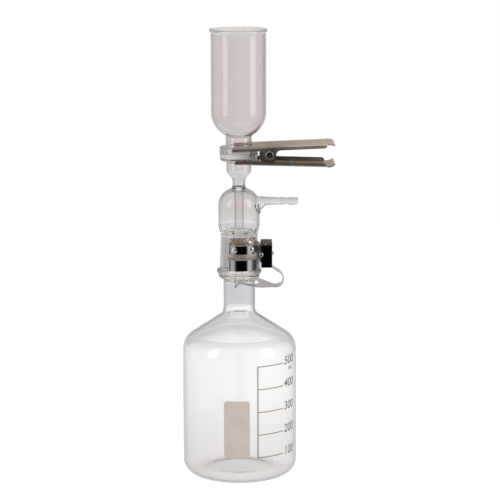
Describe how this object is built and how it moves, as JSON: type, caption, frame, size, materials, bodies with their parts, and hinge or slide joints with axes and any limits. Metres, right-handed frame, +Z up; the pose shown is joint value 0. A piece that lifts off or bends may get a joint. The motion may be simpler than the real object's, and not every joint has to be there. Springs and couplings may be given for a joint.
{
  "type": "vacuum filtration unit",
  "caption": "Glass funnel spring-clamped to a fritted filter base with a vacuum hose barb, held by a lever clamp on the ground joint of a graduated receiver bottle.",
  "frame": {"origin": "on the floor, under the middle of the bottle's resting ring", "axes": "+Z up along the glass axis, +X towards the hose barb and the clamp handles"},
  "size_m": [0.1163, 0.0874, 0.3436],
  "materials": {
    "glass": "clear borosilicate glass, fire polished",
    "frit": "white sintered glass, matt",
    "clamp_steel": "grey-brown rolled steel sheet",
    "spring_wire": "drawn spring wire",
    "bright_steel": "polished stainless sheet"
  },
  "bodies": {
    "glassware": {"bottle": "glass", "filter_base": "glass", "frit_disc": "frit", "funnel": "glass", "filter_clamp_lower_lever": "clamp_steel", "filter_clamp_pivot_pin": "clamp_steel", "filter_clamp_spring": "spring_wire", "joint_clamp_sleeve": "bright_steel", "joint_clamp_front_strap": "bright_steel", "joint_clamp_rear_strap": "bright_steel", "joint_clamp_pivots": "bright_steel"},
    "filter_clamp_jaw": {"filter_clamp_upper_lever": "clamp_steel"},
    "joint_clamp_release": {"joint_clamp_lever": "bright_steel", "joint_clamp_spring_fork": "bright_steel", "joint_clamp_rivet": "bright_steel"}
  },
  "joints": [
    {"name": "filter_clamp_open", "type": "hinge", "parent": "glassware", "child": "filter_clamp_jaw", "pos_m": [0.023, 0, 0.2501], "axis": [0, 1, 0], "range_deg": [0, 11], "stiffness_Nm_per_rad": 0.6, "springref_deg": -57.3, "deforming": ["filter_clamp_spring"]},
    {"name": "joint_clamp_swing", "type": "hinge", "parent": "glassware", "child": "joint_clamp_release", "pos_m": [0.0167, 0, 0.173], "axis": [0, -1, 0], "range_deg": [0, 12]}
  ]
}
